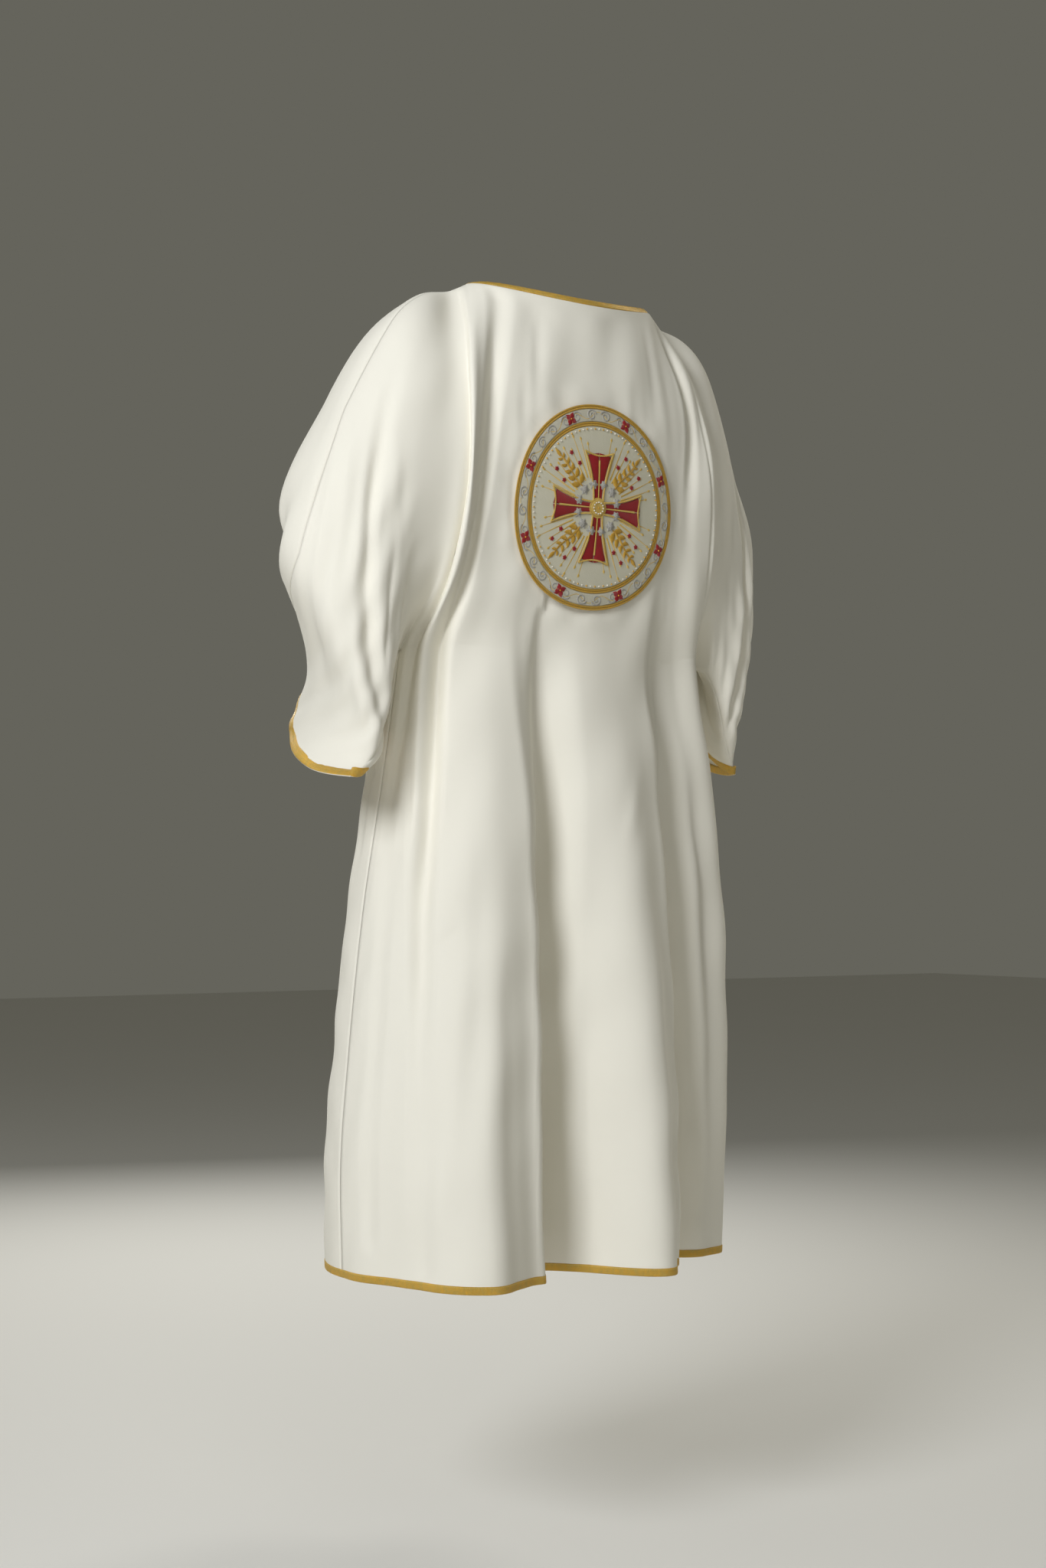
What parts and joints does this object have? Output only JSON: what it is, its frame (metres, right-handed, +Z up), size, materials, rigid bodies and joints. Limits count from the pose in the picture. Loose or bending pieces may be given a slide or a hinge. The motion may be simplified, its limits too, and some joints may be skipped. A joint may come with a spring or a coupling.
{
  "type": "dalmatic",
  "caption": "Cream dalmatic as worn: wide half-length sleeves, gold-bound neck, cuffs and hem, and a round embroidered medallion on the back.",
  "frame": {"origin": "middle of the neck opening at the height of the shoulders, where the wearer's shoulders hold it", "axes": "+X to the wearer's left, +Y to the wearer's back, +Z up"},
  "size_m": [0.683, 0.4274, 1.2081],
  "materials": {
    "cream_cloth": "plain weave wool blend, matte, ivory",
    "gold_cloth": "metallic gold thread",
    "pale_embroidery": "embroidered patch ground",
    "silver_embroidery": "silver grey embroidery"
  },
  "bodies": {
    "root": {"back": "cream_cloth", "front": "cream_cloth", "left_sleeve_back": "cream_cloth", "left_sleeve_front": "cream_cloth", "right_sleeve_back": "cream_cloth", "right_sleeve_front": "cream_cloth", "neck_binding": "gold_cloth", "left_cuff_binding": "gold_cloth", "right_cuff_binding": "gold_cloth", "hem_binding": "gold_cloth", "medallion_inner_cord": "gold_cloth", "medallion_outer_cord": "gold_cloth", "medallion_cross": "gold_cloth", "medallion_field": "pale_embroidery", "medallion_border": "silver_embroidery"}
  },
  "joints": []
}
